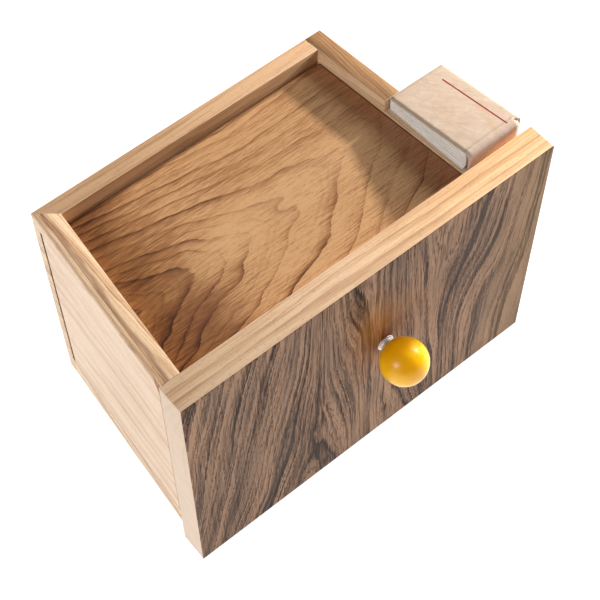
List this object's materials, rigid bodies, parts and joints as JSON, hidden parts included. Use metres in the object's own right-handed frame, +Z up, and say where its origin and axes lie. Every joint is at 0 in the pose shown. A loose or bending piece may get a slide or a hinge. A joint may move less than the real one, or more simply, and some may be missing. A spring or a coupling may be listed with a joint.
{
  "type": "wooden puzzle box",
  "caption": "Deep wooden box with a shallow rim tray over a hidden compartment, opened by a sliding side panel, a latch knob and a lifting false floor.",
  "frame": {"origin": "on the table, under the middle of the bounding box", "axes": "+X to the right seen from the knob side, +Y from the knob side to the back, +Z up"},
  "size_m": [0.25, 0.1736, 0.191],
  "materials": {
    "oak_rim": "satin oiled light oak",
    "oak_side": "satin pale oak",
    "walnut_veneer": "satin grey-brown walnut",
    "oak_veneer": "satin warm oak veneer",
    "plywood": "raw birch plywood",
    "beech": "raw beech",
    "steel": "brushed",
    "brass": "brushed",
    "chrome": "polished",
    "yellow_lacquer": "satin gloss yellow lacquer on the turned ball",
    "cover_board": "matt cream cover board",
    "spine_paper": "matt pinkish paper",
    "pages": "matt white page edges"
  },
  "bodies": {
    "box": {"front_board": "oak_rim", "front_veneer": "walnut_veneer", "left_wall": "oak_rim", "left_rail": "oak_side", "back_board": "oak_rim", "right_wall": "oak_rim", "bottom_board": "plywood", "rear_foot": "oak_rim", "foot_screws": "steel", "left_ledge": "beech", "right_ledge": "beech", "front_ledges": "beech", "knob_bushing": "brass", "stop_pins": "brass", "front_dowels": "beech", "back_dowels": "beech", "booklet_shelf": "oak_rim", "shelf_screws": "steel"},
    "side_panel": {"side_slide": "oak_side"},
    "floor": {"false_floor": "plywood", "floor_veneer": "oak_veneer", "hinge_pins": "steel", "keeper": "brass", "keeper_screws": "steel"},
    "knob": {"knob_ball": "yellow_lacquer", "knob_neck": "chrome", "knob_stud": "steel", "knob_washer": "steel", "latch_arm": "steel", "lock_nut": "steel"},
    "booklet": {"booklet_cover": "cover_board", "booklet_spine": "spine_paper", "booklet_pages": "pages"}
  },
  "joints": [
    {"name": "side_panel_slide", "type": "slide", "parent": "box", "child": "side_panel", "axis": [0, 0, 1], "range_m": [0, 0.03]},
    {"name": "false_floor_hinge", "type": "hinge", "parent": "box", "child": "floor", "pos_m": [0, 0.0729, 0.1703], "axis": [-1, 0, 0], "range_deg": [0, 65]},
    {"name": "knob_turn", "type": "hinge", "parent": "box", "child": "knob", "pos_m": [0.009, -0.03825, 0.1035], "axis": [0, 1, 0], "range_deg": [0, 90]},
    {"name": "booklet_lift", "type": "slide", "parent": "box", "child": "booklet", "axis": [0, 0, 1], "range_m": [0, 0.03]}
  ]
}
